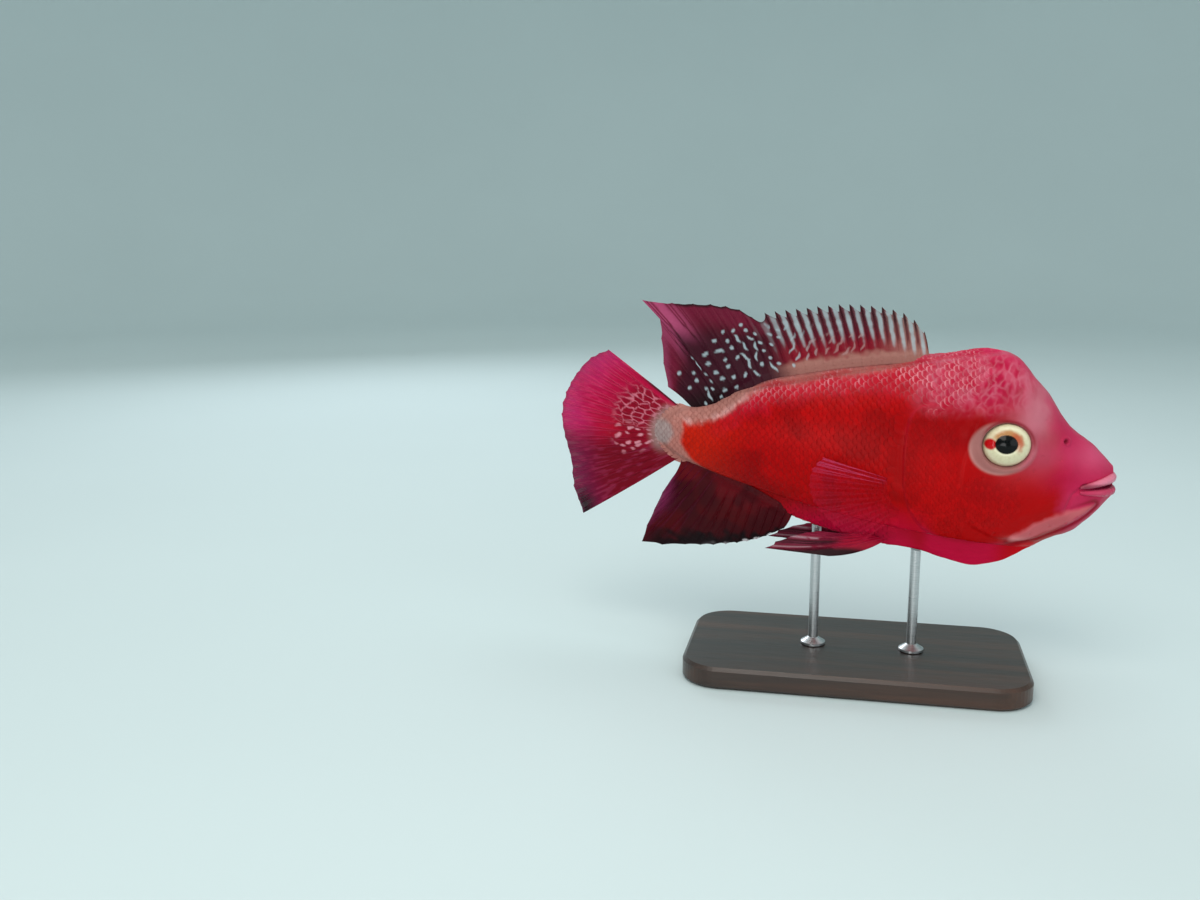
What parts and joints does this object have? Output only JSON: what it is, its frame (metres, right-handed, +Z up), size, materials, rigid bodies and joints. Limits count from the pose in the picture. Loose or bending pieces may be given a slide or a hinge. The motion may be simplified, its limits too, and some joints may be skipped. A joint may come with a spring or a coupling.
{
  "type": "fish model",
  "caption": "Life-size still model of a flowerhorn cichlid with a nuchal hump and spread fins, held by two slim rods on a plain display base.",
  "frame": {"origin": "middle of the display base's underside", "axes": "+X towards the snout, +Y towards the fish's left side, +Z up"},
  "size_m": [0.2008, 0.066, 0.1342],
  "materials": {
    "flesh": "satin cast skin, deep red, scaled",
    "nape": "satin cast skin, rose pink with crimson blotches",
    "lips": "satin, pale pink",
    "eyes": "polished, ivory iris round a black pupil",
    "dark_fins": "satin, dark maroon with pale spots",
    "pink_fins": "satin, crimson to magenta",
    "base": "dark stained, satin",
    "rods": "brushed"
  },
  "bodies": {
    "root": {"head": "flesh", "nuchal_hump": "nape", "lower_jaw": "nape", "throat": "flesh", "trunk": "flesh", "tail_stalk": "flesh", "gill_cover_left": "flesh", "gill_cover_right": "flesh", "upper_lip": "lips", "lower_lip": "lips", "eye_left": "eyes", "eye_right": "eyes", "dorsal_fin": "dark_fins", "anal_fin": "dark_fins", "pelvic_fin_left": "dark_fins", "pelvic_fin_right": "dark_fins", "caudal_fin": "pink_fins", "pectoral_fin_left": "pink_fins", "pectoral_fin_right": "pink_fins", "stand_base": "base", "stand_rod_front": "rods", "stand_rod_rear": "rods"}
  },
  "joints": []
}
